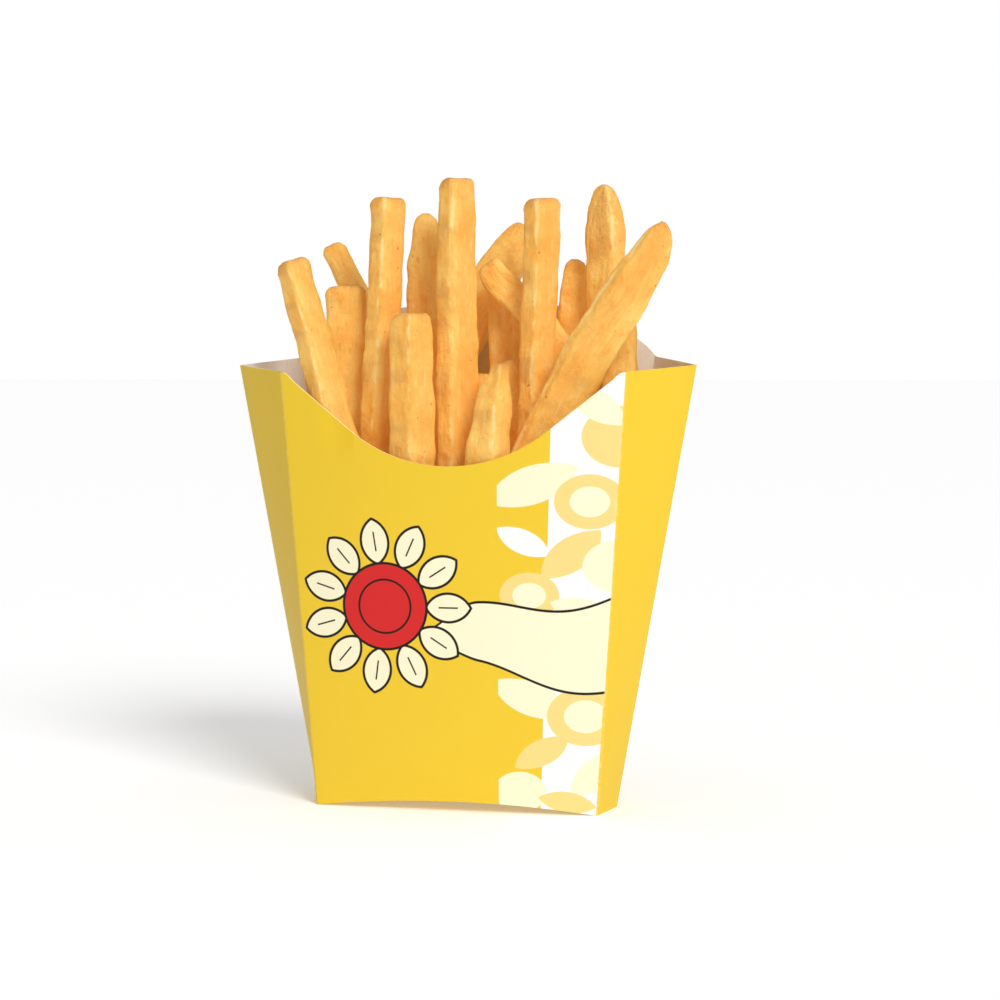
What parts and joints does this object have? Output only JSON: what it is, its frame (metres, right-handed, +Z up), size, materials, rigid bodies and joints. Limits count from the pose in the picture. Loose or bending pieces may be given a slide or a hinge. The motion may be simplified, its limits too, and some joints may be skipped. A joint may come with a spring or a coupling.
{
  "type": "french fry box",
  "caption": "Folded paperboard scoop carton with a curved front cut-out and a domed back, filled with standing potato fries.",
  "frame": {"origin": "under the middle of the whole pack, on the surface it stands on", "axes": "+X across the front panel to the right, +Y to the back panel, +Z up"},
  "size_m": [0.116, 0.043, 0.1543],
  "materials": {
    "printed_board": "satin printed paperboard, bare grey-white inside",
    "fried_potato": "fried potato, matt golden crust"
  },
  "bodies": {
    "root": {"carton": "printed_board", "fry_back_diagonal": "fried_potato", "fry_back_left": "fried_potato", "fry_back_upright": "fried_potato", "fry_bed_01": "fried_potato", "fry_bed_02": "fried_potato", "fry_bed_03": "fried_potato", "fry_bed_04": "fried_potato", "fry_bed_05": "fried_potato", "fry_bed_06": "fried_potato", "fry_bed_07": "fried_potato", "fry_bed_08": "fried_potato", "fry_bed_09": "fried_potato", "fry_bed_10": "fried_potato", "fry_bed_11": "fried_potato", "fry_bed_12": "fried_potato", "fry_bed_13": "fried_potato", "fry_bed_14": "fried_potato", "fry_bed_15": "fried_potato", "fry_bed_16": "fried_potato", "fry_bed_17": "fried_potato", "fry_bed_18": "fried_potato", "fry_bed_19": "fried_potato", "fry_bed_20": "fried_potato", "fry_bed_21": "fried_potato", "fry_bed_22": "fried_potato", "fry_bed_23": "fried_potato", "fry_bed_24": "fried_potato", "fry_centre_cross": "fried_potato", "fry_centre_low": "fried_potato", "fry_centre_pointed": "fried_potato", "fry_centre_tall": "fried_potato", "fry_left_outer": "fried_potato", "fry_left_tall": "fried_potato", "fry_left_upright": "fried_potato", "fry_right_diagonal": "fried_potato", "fry_right_leaning": "fried_potato", "fry_right_low": "fried_potato", "fry_right_pointed": "fried_potato", "fry_right_round": "fried_potato", "fry_right_stub": "fried_potato", "fry_right_tall": "fried_potato", "fry_short_front": "fried_potato"}
  },
  "joints": []
}
